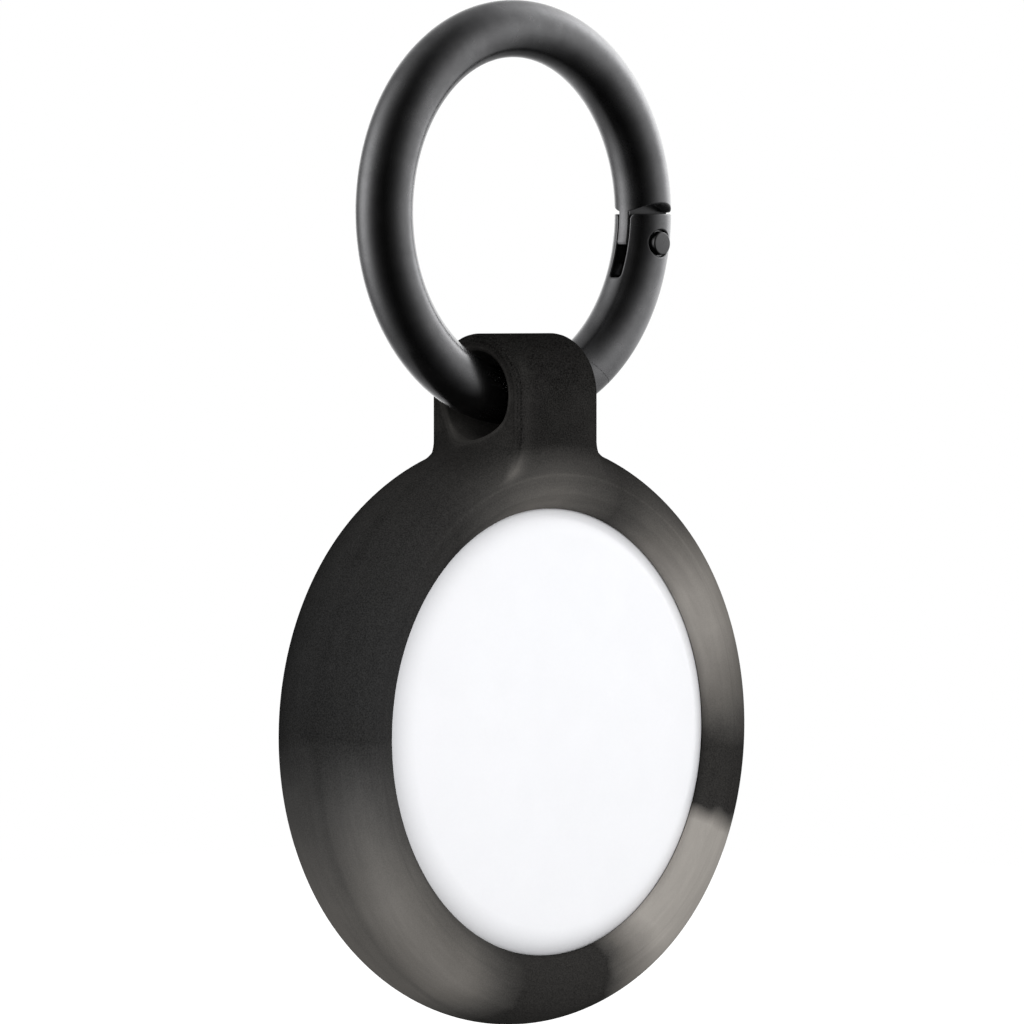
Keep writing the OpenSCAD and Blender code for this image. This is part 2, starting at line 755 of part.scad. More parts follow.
module speaker_yoke() {
  color([0.6, 0.61, 0.63]) facing(disc_z) {
    washer(0, yoke_d / 2, tray_top_f, tray_top_f + yoke_t);
    washer(yoke_d / 2 - yoke_t, yoke_d / 2, tray_top_f + yoke_t, tray_top_f + yoke_h);
  }
}

module speaker_magnet() {
  color([0.5, 0.51, 0.54]) facing(disc_z)
    washer(0, magnet_d / 2, tray_top_f + yoke_t, tray_top_f + yoke_t + magnet_h);
}

// The coil is glued to the inside of the dome, which is cut to the same circle
module voice_coil() {
  coil_r = magnet_d / 2 + coil_gap;
  color([0.72, 0.42, 0.22]) facing(disc_z) rotate_extrude() intersection() {
    translate([coil_r, tag_t / 2 - shell_wall - coil_h]) square([coil_wall, coil_h]);
    translate([0, dome_f]) circle(tag_crown_r - shell_wall, $fn = dome_fn);
  }
}

holder_body();
ring_body();
ring_gate();
hinge_pin();
gate_spring();
gate_plunger();
tag_cap();
tag_base();
antenna_frame();
antenna_traces();
circuit_board();
radio_shield();
board_chips();
board_capacitors();
speaker_yoke();
speaker_magnet();
voice_coil();
battery_contacts();
cell_can();
cell_gasket();
cell_cap();
battery_cover();
cover_lugs();
cover_pad();
cover_gasket();
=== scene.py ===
"""Looks of the tracker tag holder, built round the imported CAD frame.

Lengths are millimetres in the shape functions and metres in Blender. A shape is a
function of x (right), y (up) and f (towards the front) about a centre in the face's
plane: it is negative inside the piece, nought on its surface and positive outside.
"""
import math

import bmesh
import bpy
import numpy as np
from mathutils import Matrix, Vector


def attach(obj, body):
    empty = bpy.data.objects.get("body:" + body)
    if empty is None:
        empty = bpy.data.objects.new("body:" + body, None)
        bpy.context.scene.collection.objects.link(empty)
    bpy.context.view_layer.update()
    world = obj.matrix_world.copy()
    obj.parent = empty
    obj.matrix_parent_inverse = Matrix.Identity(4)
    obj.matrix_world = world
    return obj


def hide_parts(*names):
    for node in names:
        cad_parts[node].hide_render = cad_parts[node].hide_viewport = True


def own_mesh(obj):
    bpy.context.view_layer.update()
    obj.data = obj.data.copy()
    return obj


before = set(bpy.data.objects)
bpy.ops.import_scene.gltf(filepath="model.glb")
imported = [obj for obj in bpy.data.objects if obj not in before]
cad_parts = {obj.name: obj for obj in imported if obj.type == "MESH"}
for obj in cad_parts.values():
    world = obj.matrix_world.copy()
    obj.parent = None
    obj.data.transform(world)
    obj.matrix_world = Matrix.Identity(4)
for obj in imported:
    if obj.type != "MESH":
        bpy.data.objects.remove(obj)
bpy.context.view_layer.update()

MM = 0.001

# Centres in the row frame, in millimetres
RING_Z = -9.76
DISC_Z = -42.34

# Ring and hinge
RING_R = 11.56
WIRE_R = 1.8
PIN_X, PIN_Y = 11.4015, -1.908
PIN_R = 0.73
PIN_STAND = 0.12
PIN_SINK = 0.1
SEAM_GAP = 0.05
NOSE_REACH = 9.725
NOSE_GAP = 0.01
SKIN_DEPTH, SKIN_TOP = 0.04, -5
SHOULDER_CUT_R = 2.56
PIN_PLAY = 0.03
PIN_EDGE_R = 0.1
RECESS_R = 0.86
RECESS_DEPTH = 0.3
TONGUE_T = 0.84
TONGUE_END_X, TONGUE_END_Y = 10.55, -2.05
NECK_HALF_W, NECK_HALF_H = 3.6, 1.3
SLOT_W = 0.95
SLOT_DEPTH = 4.05
BORE_LEAN = math.radians(25)
HEEL_REACH = 1.45
SPRING_BORE_R = 0.45
SPRING_BORE_END = 6.2
LIP_INNER_R = 12.01
LIP_H = 0.9
LIP_L = 1.2
LIP_T = 1.0
LIP_PLAY = 0.06
LIP_PAST_NOSE = 0.8

# Radii on the edges of the ring and the gate
SEAM_EDGE_R, NOSE_EDGE_R = 0.09, 0.015
TONGUE_EDGE_R, TONGUE_CORNER_R = 0.06, 0.3
SLOT_EDGE_R, SLOT_FOOT_R, CHEEK_R = 0.12, 0.22, 0.4
NOSE_LIP_EDGE_R, NOSE_ROOM_EDGE_R = 0.05, 0.04

# Rim and window
CROWN_C, CROWN_R = 12.55, 5.95
EDGE_R = 0.9
LAND_F = 4.1
WINDOW_R = 14.0
LIP_F = 2.84
LIP_TOP_R, LIP_TOP_F = 14.1, 3.24
LAND_R = 14.93
WINDOW_EDGE_R = 0.08
GROOVE_R, GROOVE_DEPTH, GROOVE_HALF_W = 15.75, 0.015, 0.07
RIDGE_R, RIDGE_H, RIDGE_HALF_W = 16.15, 0.01, 0.08

# Loop, which is only looked for above a height. It flares into the rim, and near the lands
# its flare starts lower. Its foot runs out on the land between two distances from the disc's
# centre, and the crease beside it widens there.
LOOP_HALF_W = 3.59
LOOP_HALF_T = 3.9
LOOP_Y = 21.1
LOOP_BORE_R = 2.81
LOOP_EDGE_R, MOUTH_R = 0.42, 0.25
FLARE_R = 2.2
FLARE_DROP, FLARE_DROP_F = 0.75, 2.6
FOOT_LOW, FOOT_HIGH = 16.2, 18.4
CREASE_R, FOOT_CREASE_R = 0.01, 0.2
LOOP_ABOVE = 5

# Tag
TAG_R = 15.95
TAG_T = 8.0
DOME_R = 168.0
SHOULDER_R = 2.82
SHOULDER_X, SHOULDER_F = 12.12, 0.735
EDGE_SLOPE = math.radians(50)
TAG_EDGE_R = 0.15
TAG_PLAY, TAG_ROOM_EDGE_R = 0.03, 0.05
HALF_SEAM = 0.01
DOME_TILT = math.atan2(SHOULDER_X, SHOULDER_F - TAG_T / 2 + DOME_R)
SHELL_WALL, SHELL_EDGE_R = 1.0, 0.05
COVER_R = 12.6
COVER_T = 0.4
COVER_EDGE_R = 0.12
COVER_GAP, COVER_SEAT_EDGE_R = 0.15, 0.08
LEDGE_R, LEDGE_OUTER_R = 11.35, 13.35
LEDGE_LOW, LEDGE_HIGH = 2.5257, 2.8757
LEDGE_EDGE_R = 0.03
NOTCH_R = 12.2
NOTCH_HALF = math.radians(9)
NOTCH_TURN = math.radians(20)

# How points are moved onto a shape, the angle from which a turned piece's edge is sharp,
# and what counts as nought
MOVES, LEAST_STEEP, MOST_MOVE = 5, 0.05, 0.1
SHARP_ANGLE = math.radians(35)
TINY = 1e-6


def join_out(a, b, radius):
    """Two shapes' overlap, with its outer edges rounded to a radius."""
    inner = np.minimum(np.maximum(a, b), -radius)
    return inner + np.hypot(np.maximum(a + radius, 0), np.maximum(b + radius, 0))


def join_in(a, b, radius):
    """Two shapes together, with a fillet of a radius in the corners between them."""
    outer = np.maximum(np.minimum(a, b), radius)
    return outer - np.hypot(np.maximum(radius - a, 0), np.maximum(radius - b, 0))


def ramp(value, low, high):
    """0 below low, 1 above high, and a smooth rise between them."""
    share = np.clip((value - low) / (high - low), 0, 1)
    return share * share * (3 - 2 * share)


def lines(*runs):
    """Grid lines from (start, end, step) runs that follow each other."""
    found = []
    for start, end, step in runs:
        count = max(1, round((end - start) / step))
        found.extend(np.linspace(start, end, count, endpoint=False))
    found.append(runs[-1][1])
    return np.array(found)


def mirrored(positive):
    """Grid lines on both sides of nought, from those at and above it."""
    return np.concatenate([-positive[:0:-1], positive])


def slope(shape, points, step=1e-3):
    """The shape's gradient at points, by central differences."""
    found = np.empty_like(points)
    for axis in range(3):
        shift = np.zeros(3)
        shift[axis] = step
        found[:, axis] = shape(*(points + shift).T) - shape(*(points - shift).T)
    return found / (2 * step)


def to_row(points, centre_z):
    """Points or directions of a face's plane as x, y, z of the row frame."""
    return np.stack([points[:, 0], -points[:, 2], points[:, 1] + centre_z], axis=1)


def surface_piece(name, shape, radii, angles, depths, centre_z, skin=None):
    """A mesh of the whole surface of a shape: one point in each grid cell that the
    surface crosses, moved onto the surface, and one face for each grid edge that it
    crosses. The grid is cylindrical about the centre, and its angles close round. Low
    down, a skin lends its normals to the points on it, so that a tight seam in it
    hardly shows."""
    turn = np.concatenate([angles, [angles[0] + 2 * math.pi]])
    grid = np.meshgrid(radii, turn, depths, indexing="ij")
    points = np.stack([grid[0] * np.cos(grid[1]), grid[0] * np.sin(grid[1]), grid[2]], axis=-1)
    value = shape(points[..., 0], points[..., 1], points[..., 2])
    cells = (len(radii) - 1, len(angles), len(depths) - 1)
    total = np.zeros((cells[0] * cells[1] * cells[2], 3))
    hits = np.zeros(len(total))
    quads = []
    for axis in range(3):
        low = value[tuple(slice(0, -1) if a == axis else slice(None) for a in range(3))]
        high = value[tuple(slice(1, None) if a == axis else slice(None) for a in range(3))]
        crossed = np.argwhere((low < 0) != (high < 0))
        if axis != 1:
            crossed = crossed[crossed[:, 1] < len(angles)]
        start = tuple(crossed.T)
        end = tuple((crossed + np.eye(3, dtype=int)[axis]).T)
        share = (value[start] / (value[start] - value[end]))[:, None]
        where = points[start] * (1 - share) + points[end] * share
        side, up = (axis + 1) % 3, (axis + 2) % 3
        corners = []
        for back_side, back_up in ((1, 1), (0, 1), (0, 0), (1, 0)):
            cell = crossed.copy()
            cell[:, side] -= back_side
            cell[:, up] -= back_up
            cell[:, 1] %= len(angles)
            corners.append(np.ravel_multi_index(tuple(cell.T), cells))
            np.add.at(total, corners[-1], where)
            np.add.at(hits, corners[-1], 1)
        quad = np.stack(corners, axis=1)
        leaving = (value[start] < 0)[:, None]
        quads.append(np.where(leaving, quad, quad[:, ::-1]))
    used = np.flatnonzero(hits)
    number = np.zeros(len(hits), dtype=int)
    number[used] = np.arange(len(used))
    vertices = total[used] / hits[used][:, None]
    for _ in range(MOVES):
        rise = slope(shape, vertices)
        steep = np.maximum((rise ** 2).sum(axis=1, keepdims=True), LEAST_STEEP)
        move = shape(*vertices.T)[:, None] * rise / steep
        vertices = vertices - np.clip(move, -MOST_MOVE, MOST_MOVE)
    normals = slope(shape, vertices)
    if skin:
        on_skin = (np.abs(skin(*vertices.T)) < SKIN_DEPTH) & (vertices[:, 1] < SKIN_TOP)
        normals = np.where(on_skin[:, None], slope(skin, vertices), normals)
    normals /= np.maximum(np.linalg.norm(normals, axis=1, keepdims=True), TINY)
    faces = number[np.concatenate(quads)]
    return mesh_piece(name, to_row(vertices, centre_z), faces, to_row(normals, 0))


def mesh_piece(name, vertices, faces, normals=None):
    """A smooth mesh object from points in millimetres."""
    mesh = bpy.data.meshes.new(name)
    mesh.from_pydata((vertices * MM).tolist(), [], [list(map(int, f)) for f in faces])
    mesh.polygons.foreach_set("use_smooth", [True] * len(mesh.polygons))
    if normals is not None:
        mesh.normals_split_custom_set_from_vertices(normals.tolist())
    else:
        tidy = bmesh.new()
        tidy.from_mesh(mesh)
        bmesh.ops.recalc_face_normals(tidy, faces=tidy.faces)
        tidy.to_mesh(mesh)
        tidy.free()
        mesh.set_sharp_from_angle(angle=SHARP_ANGLE)
    mesh.update()
    piece = bpy.data.objects.new(name, mesh)
    bpy.context.scene.collection.objects.link(piece)
    return piece


def turned_piece(name, section, centre_x, centre_y, centre_z, segments=256):
    """A closed section (distance from the axis, f), turned about a front-to-back axis."""
    angle = np.linspace(0, 2 * math.pi, segments, endpoint=False)
    section = np.array(section, float)
    on_axis = section[:, 0] < TINY
    vertices, ring = [], []
    for (r, f), single in zip(section, on_axis):
        ring.append(len(vertices))
        if single:
            vertices.append((centre_x, centre_y, f))
        else:
            vertices.extend((centre_x + r * math.cos(a), centre_y + r * math.sin(a), f)
                            for a in angle)
    faces = []
    for i in range(len(section)):
        j = (i + 1) % len(section)
        if on_axis[i] and on_axis[j]:
            continue
        for k in range(segments):
            m = (k + 1) % segments
            low = [ring[i]] if on_axis[i] else [ring[i] + k, ring[i] + m]
            high = [ring[j]] if on_axis[j] else [ring[j] + m, ring[j] + k]
            faces.append(low + high)
    return mesh_piece(name, to_row(np.array(vertices), centre_z), faces)


def arc(centre, radius, start, end, steps):
    """Points of an arc in a section. Angles are degrees from the r axis towards f."""
    return [(centre[0] + radius * math.cos(math.radians(a)),
             centre[1] + radius * math.sin(math.radians(a)))
            for a in np.linspace(start, end, steps)]


# Shapes of the holder

def rim_shape(r, depth):
    """The holder's turned rim: a crown, rounded into flat lands with a fine groove and
    a fine ridge."""
    crown = np.hypot(r - CROWN_C, depth) - CROWN_R
    groove = GROOVE_DEPTH * np.exp(-((r - GROOVE_R) / GROOVE_HALF_W) ** 2)
    ridge = RIDGE_H * np.exp(-((r - RIDGE_R) / RIDGE_HALF_W) ** 2)
    land = depth - LAND_F + groove - ridge
    return join_out(crown, land, EDGE_R)


def tag_outline(r, depth, grow):
    """One half of the tag: its dome, shoulder, sloping edge and rim, grown by an amount."""
    dome = np.hypot(r, depth - TAG_T / 2 + DOME_R) - DOME_R - grow
    across, along = r - SHOULDER_X, depth - SHOULDER_F
    radius = SHOULDER_R + grow
    slant = across * math.sin(EDGE_SLOPE) + along * math.cos(EDGE_SLOPE) - radius
    past_arc = across * math.cos(EDGE_SLOPE) > along * math.sin(EDGE_SLOPE)
    before_arc = across * math.cos(DOME_TILT) < along * math.sin(DOME_TILT)
    face = np.where(before_arc, dome, np.hypot(across, along) - radius)
    return join_out(np.where(past_arc, slant, face), r - TAG_R - grow, TAG_EDGE_R)


def holder_shape(x, y, f):
    """The sleeve: rim, loop, window and the room for the tag."""
    r = np.hypot(x, y)
    depth = np.abs(f)
    rim = rim_shape(r, depth)
    # The loop is a post with an arched head, flared into the rim at its foot
    rim_r = CROWN_C + np.sqrt(CROWN_R ** 2 - np.minimum(depth, LAND_F) ** 2)
    rim_r = rim_r - FLARE_DROP * ramp(depth, FLARE_DROP_F, LOOP_HALF_T)
    sides = join_in(np.abs(x) - LOOP_HALF_W, r - rim_r, FLARE_R)
    foot = (LAND_F - LOOP_HALF_T) * ramp(-r, -FOOT_HIGH, -FOOT_LOW)
    faces = np.where(y < LOOP_Y, depth - LOOP_HALF_T - foot,
                     np.hypot(y - LOOP_Y, f) - LOOP_HALF_T)
    crease = CREASE_R + (FOOT_CREASE_R - CREASE_R) * ramp(r, FOOT_LOW, FOOT_HIGH)
    faces = join_in(faces, rim, crease)
    loop = np.where(y > LOOP_ABOVE, join_out(sides, faces, LOOP_EDGE_R), rim)
    solid = np.minimum(rim, loop)
    bore = LOOP_BORE_R - np.hypot(y - LOOP_Y, f)
    solid = np.where(y > LOOP_ABOVE, join_out(solid, bore, MOUTH_R), solid)
    # The window's bevel and lip, then the room for the tag
    bevel_r, bevel_f = LAND_R - LIP_TOP_R, LAND_F - LIP_TOP_F
    bevel = ((LIP_TOP_R - r) * bevel_f + (depth - LIP_TOP_F) * bevel_r)
    bevel = bevel / math.hypot(bevel_r, bevel_f)
    lip_r, lip_f = LIP_TOP_R - WINDOW_R, LIP_TOP_F - LIP_F
    lip = ((WINDOW_R - r) * lip_f + (depth - LIP_F) * lip_r) / math.hypot(lip_r, lip_f)
    window = join_out(bevel, lip, WINDOW_EDGE_R)
    solid = join_out(solid, window, WINDOW_EDGE_R)
    return join_out(solid, -tag_outline(r, depth, TAG_PLAY), TAG_ROOM_EDGE_R)


# Shapes of the ring

def from_pin(x, y):
    """Distance from the hinge pin's axis."""
    return np.hypot(x - PIN_X, y - PIN_Y)


def along_spring_bore(x, y):
    """Distance across and along the spring's bore, from the pin's axis."""
    across = (x - PIN_X) * math.cos(BORE_LEAN) - (y - PIN_Y) * math.sin(BORE_LEAN)
    along = -(x - PIN_X) * math.sin(BORE_LEAN) - (y - PIN_Y) * math.cos(BORE_LEAN)
    return across, along


def wire_shape(x, y, f):
    """The ring's whole round wire, with no seams."""
    return np.hypot(np.hypot(x, y) - RING_R, f) - WIRE_R


def gate_zone(x, y, top_gap, nose_gap):
    """Where the wire belongs to the gate: below the seam and within the nose's reach."""
    return np.maximum(np.maximum(from_pin(x, y) - NOSE_REACH - nose_gap, y - top_gap), -x)


def seam_edge(y):
    """The radius on a seam's edges, which is finer at the nose than at the hinge."""
    return np.where(y < SKIN_TOP, NOSE_EDGE_R, SEAM_EDGE_R)


def ring_shape(x, y, f):
    """The fixed part of the ring, with the tongue and the lip."""
    wire = wire_shape(x, y, f)
    r = np.hypot(x, y)
    body = join_out(wire, -gate_zone(x, y, SEAM_GAP, NOSE_GAP), seam_edge(y))
    body = join_out(body, SHOULDER_CUT_R - from_pin(x, y), SEAM_EDGE_R)
    # The tongue, round about the pin, with a flat heel
    across, along = along_spring_bore(x, y)
    neck = np.maximum(np.abs(x - PIN_X) - NECK_HALF_W,
                      np.abs(y - PIN_Y - NECK_HALF_H) - NECK_HALF_H)
    outline = np.maximum(np.minimum(from_pin(x, y) - WIRE_R, neck), along - HEEL_REACH)
    tongue = join_out(wire, np.minimum(TONGUE_END_Y - y, TONGUE_END_X - x), TONGUE_CORNER_R)
    tongue = join_out(tongue, np.abs(f) - TONGUE_T / 2, TONGUE_EDGE_R)
    tongue = join_out(tongue, outline, TONGUE_EDGE_R)
    tongue = np.maximum(tongue, PIN_R + PIN_PLAY - from_pin(x, y))
    # The lip at the nose
    reach = np.maximum(NOSE_REACH - LIP_L - from_pin(x, y),
                       from_pin(x, y) - NOSE_REACH - LIP_PAST_NOSE)
    lip = np.maximum(LIP_INNER_R - r, r - LIP_INNER_R - LIP_H)
    lip = np.maximum(np.maximum(lip, reach), np.maximum(np.abs(f) - LIP_T / 2, y))
    lip = join_out(lip, wire, NOSE_LIP_EDGE_R)
    return np.minimum(np.minimum(body, tongue), lip)


def gate_shape(x, y, f):
    """The gate: its fork, the pin's hole, the spring's bore and the room for the lip."""
    wire = wire_shape(x, y, f)
    r = np.hypot(x, y)
    gate = join_out(wire, gate_zone(x, y, 0, 0), seam_edge(y))
    cheeks = join_out(SLOT_W / 2 - np.abs(f), y, CHEEK_R)
    gate = join_out(gate, join_in(cheeks, y + SLOT_DEPTH, SLOT_FOOT_R), SLOT_EDGE_R)
    hole = from_pin(x, y) - PIN_R
    recess = np.maximum(from_pin(x, y) - RECESS_R, WIRE_R - RECESS_DEPTH - np.abs(f))
    gate = join_out(gate, -np.minimum(hole, recess), SLOT_EDGE_R)
    across, along = along_spring_bore(x, y)
    bore = np.maximum(np.hypot(across, f) - SPRING_BORE_R,
                      np.maximum(HEEL_REACH - along, along - SPRING_BORE_END))
    gate = np.maximum(gate, -bore)
    room = np.maximum(LIP_INNER_R - r, NOSE_REACH - LIP_L - from_pin(x, y))
    room = np.maximum(room, np.abs(f) - LIP_T / 2) - LIP_PLAY
    return join_out(gate, -room, NOSE_ROOM_EDGE_R)


def rear_shell_shape(x, y, f):
    """The tag's rear shell, with the ledge for the battery cover's lugs."""
    r, depth = np.hypot(x, y), -f
    shell = join_out(tag_outline(r, depth, 0), -tag_outline(r, depth, -SHELL_WALL),
                     SHELL_EDGE_R)
    shell = join_out(shell, COVER_R + COVER_GAP - r, COVER_SEAT_EDGE_R)
    ledge = np.maximum(np.maximum(LEDGE_R - r, r - LEDGE_OUTER_R),
                       np.maximum(LEDGE_LOW - depth, depth - LEDGE_HIGH))
    third = 2 * math.pi / 3
    off_notch = (np.arctan2(-y, x) - NOTCH_TURN + third / 2) % third - third / 2
    notch = np.maximum(r - NOTCH_R, (np.abs(off_notch) - NOTCH_HALF) * r)
    ledge = join_out(ledge, -notch, LEDGE_EDGE_R)
    return join_out(np.minimum(shell, ledge), HALF_SEAM - depth, LEDGE_EDGE_R)


def degrees(*runs):
    """Angles of a grid that closes round, from runs in degrees, as radians."""
    return np.radians(lines(*runs))[:-1]


holder = surface_piece(
    "holder_sleeve", holder_shape,
    lines((13.85, 15.1, 0.05), (15.1, 15.5, 0.1), (15.5, 16.3, 0.05), (16.3, 18.7, 0.115),
          (18.7, 25.46, 0.13)),
    degrees((-270, -252, 0.35), (-252, 72, 1.8), (72, 90, 0.35)),
    mirrored(lines((0, 2.8, 0.2), (2.8, 4.2, 0.07))),
    DISC_Z)
ring_radii = lines((9.65, 13.5, 0.055))
ring_depths = mirrored(lines((0, 1.96, 0.055)))
ring = surface_piece(
    "ring_wire", ring_shape, ring_radii,
    degrees((-70, -54, 0.2), (-54, -26, 1.4), (-26, 16, 0.22), (16, 290, 1.5)),
    ring_depths, RING_Z, skin=wire_shape)
gate = surface_piece(
    "ring_gate_wire", gate_shape, ring_radii,
    degrees((-70, -54, 0.2), (-54, -26, 1.0), (-26, 16, 0.22), (16, 290, 3)),
    ring_depths, RING_Z, skin=wire_shape)

rear_shell = surface_piece(
    "tag_rear_shell", rear_shell_shape,
    lines((11.25, 12.6, 0.09), (12.6, 13.0, 0.05), (13.0, 16.05, 0.1)), degrees((0, 360, 1.5)),
    -lines((-0.08, 2.4, 0.12), (2.4, 4.1, 0.06))[::-1], DISC_Z)

pin_top, pin_foot = WIRE_R + PIN_STAND, WIRE_R - PIN_SINK
pin = turned_piece(
    "hinge_pin_head",
    [(0, -pin_foot)]
    + arc((PIN_R - PIN_EDGE_R, PIN_EDGE_R - pin_foot), PIN_EDGE_R, -90, 0, 6)
    + arc((PIN_R - PIN_EDGE_R, pin_top - PIN_EDGE_R), PIN_EDGE_R, 0, 90, 6)
    + [(0, pin_top)],
    PIN_X, PIN_Y, RING_Z, segments=96)


def shell_section(grow):
    """One half of the tag's shell from the axis out to its edge, grown by an amount."""
    tilt = math.degrees(DOME_TILT)
    dome = arc((0, TAG_T / 2 - DOME_R), DOME_R + grow, 90, 90 - tilt, 24)
    shoulder = arc((SHOULDER_X, SHOULDER_F), SHOULDER_R + grow, 90 - tilt,
                   90 - math.degrees(EDGE_SLOPE), 20)[1:]
    edge_r = TAG_R + grow
    foot_r, foot_f = shoulder[-1]
    edge_f = foot_f - (edge_r - foot_r) * math.tan(EDGE_SLOPE)
    return dome + shoulder + [(edge_r, edge_f), (edge_r, HALF_SEAM)]


tag_cap = turned_piece("tag_cap_dome", shell_section(0) + shell_section(-SHELL_WALL)[::-1],
                       0, 0, DISC_Z)

# The steel cover is a slice of the rear dome with a rounded edge
dome_c = TAG_T / 2 - DOME_R


def on_dome(radius, r):
    """The angle in degrees at which a dome of a radius is at a distance from its axis."""
    return 90 - math.degrees(math.asin(r / radius))


cover_section = (
    arc((0, dome_c), DOME_R, 90, on_dome(DOME_R, COVER_R - COVER_EDGE_R), 30)
    + arc((COVER_R - COVER_EDGE_R,
           dome_c + math.sqrt(DOME_R ** 2 - COVER_R ** 2) - COVER_EDGE_R),
          COVER_EDGE_R, 80, 0, 6)
    + arc((0, dome_c), DOME_R - COVER_T, on_dome(DOME_R - COVER_T, COVER_R), 90, 30))
cover = turned_piece("battery_cover_dome", [(r, -f) for r, f in cover_section], 0, 0, DISC_Z)

for piece, body, node, slot in (
    (holder, "holder", "holder_body", "holder_shell"),
    (ring, "ring", "ring_body", "ring_metal"),
    (gate, "gate", "ring_gate", "ring_metal"),
    (pin, "gate", "hinge_pin", "pin_metal"),
    (tag_cap, "holder", "tag_cap", "tag_white"),
    (rear_shell, "holder", "tag_base", "tag_white"),
    (cover, "cover", "battery_cover", "cover_steel"),
):
    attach(piece, body)
    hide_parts(node)


# Materials

def tone(grey):
    """The linear level of a display grey."""
    share = grey / 255
    return share / 12.92 if share <= 0.04045 else ((share + 0.055) / 1.055) ** 2.4


class Nodes:
    """A short way to add a material's nodes and to join them. A value is a socket or a
    plain number, colour or vector."""

    def __init__(self, name):
        self.material = bpy.data.materials.new(name)
        self.material.use_nodes = True
        self.tree = self.material.node_tree
        self.shader = self.tree.nodes["Principled BSDF"]

    def put(self, socket, value):
        if isinstance(value, bpy.types.NodeSocket):
            self.tree.links.new(value, socket)
        else:
            socket.default_value = value

    def add(self, kind, *values, out=0, **settings):
        node = self.tree.nodes.new(kind)
        for key, value in settings.items():
            setattr(node, key, value)
        for place, value in enumerate(values):
            if value is not None:
                self.put(node.inputs[place], value)
        return node.outputs[out]

    def math(self, operation, *values):
        return self.add("ShaderNodeMath", *values, operation=operation)

    def spread(self, value, low, high, to_low, to_high):
        """A value's run from low to high as a run between two others, held at its ends."""
        return self.add("ShaderNodeMapRange", value, low, high, to_low, to_high)

    def product(self, value, *shares):
        for share in shares:
            value = self.math("MULTIPLY", value, share)
        return value

    def hypot(self, a, b):
        squares = self.math("ADD", self.math("MULTIPLY", a, a), self.math("MULTIPLY", b, b))
        return self.math("SQRT", squares)

    def parts(self, vector):
        """The x, y and z of a vector."""
        return self.add("ShaderNodeSeparateXYZ", vector).node.outputs

    def vector(self, x, y, z):
        return self.add("ShaderNodeCombineXYZ", x, y, z)

    def times(self, vector, factor):
        return self.add("ShaderNodeVectorMath", vector, None, None, factor, operation="SCALE")

    def noise(self, where, size, detail=3.0):
        """Noise about nought to one, with features of a size in millimetres."""
        scaled = self.times(where, 1 / (size * MM))
        return self.add("ShaderNodeTexNoise", scaled, None, 1.0, detail)

    def vary(self, noise, low, high):
        """Noise between low and high: nearly all of it lies from 0.3 to 0.7."""
        return self.spread(noise, 0.3, 0.7, low, high)

    def bump(self, height, distance):
        node = self.tree.nodes.new("ShaderNodeBump")
        node.inputs["Distance"].default_value = distance * MM
        self.put(node.inputs["Height"], height)
        return node.outputs["Normal"]


def polar(nodes, where, centre_x, centre_z):
    """About a front-to-back axis: the angle in turns, and in millimetres the distance
    and how far in front of the ring's plane the place is."""
    x, y, z = nodes.parts(where)
    x = nodes.math("SUBTRACT", x, centre_x * MM)
    z = nodes.math("SUBTRACT", z, centre_z * MM)
    turn = nodes.math("FRACT", nodes.math("DIVIDE", nodes.math("ARCTAN2", z, x), 2 * math.pi))
    reach = nodes.math("DIVIDE", nodes.hypot(x, z), MM)
    return turn, reach, nodes.math("DIVIDE", y, -MM)


def round_axis(nodes, turn, reach, depth, length):
    """A place whose noise runs in streaks round an axis, as if a full turn were as long as
    a length in millimetres."""
    return nodes.vector(nodes.math("MULTIPLY", reach, MM),
                        nodes.math("MULTIPLY", turn, length * MM),
                        nodes.math("MULTIPLY", depth, MM))


# For the finishes: the length of a brushed one's full turn in millimetres, how much coarser
# the broad noise is than the grain, the share of its colour that a place of painted shade
# keeps, and how metallic a cut is and how far off its radius it still is one
BRUSH_LENGTH = 6
BROAD_SIZE = 12
PAINTED_SHADE_SHARE = 0.3
CUT_METALLIC, CUT_PLAY = 0.2, 0.03


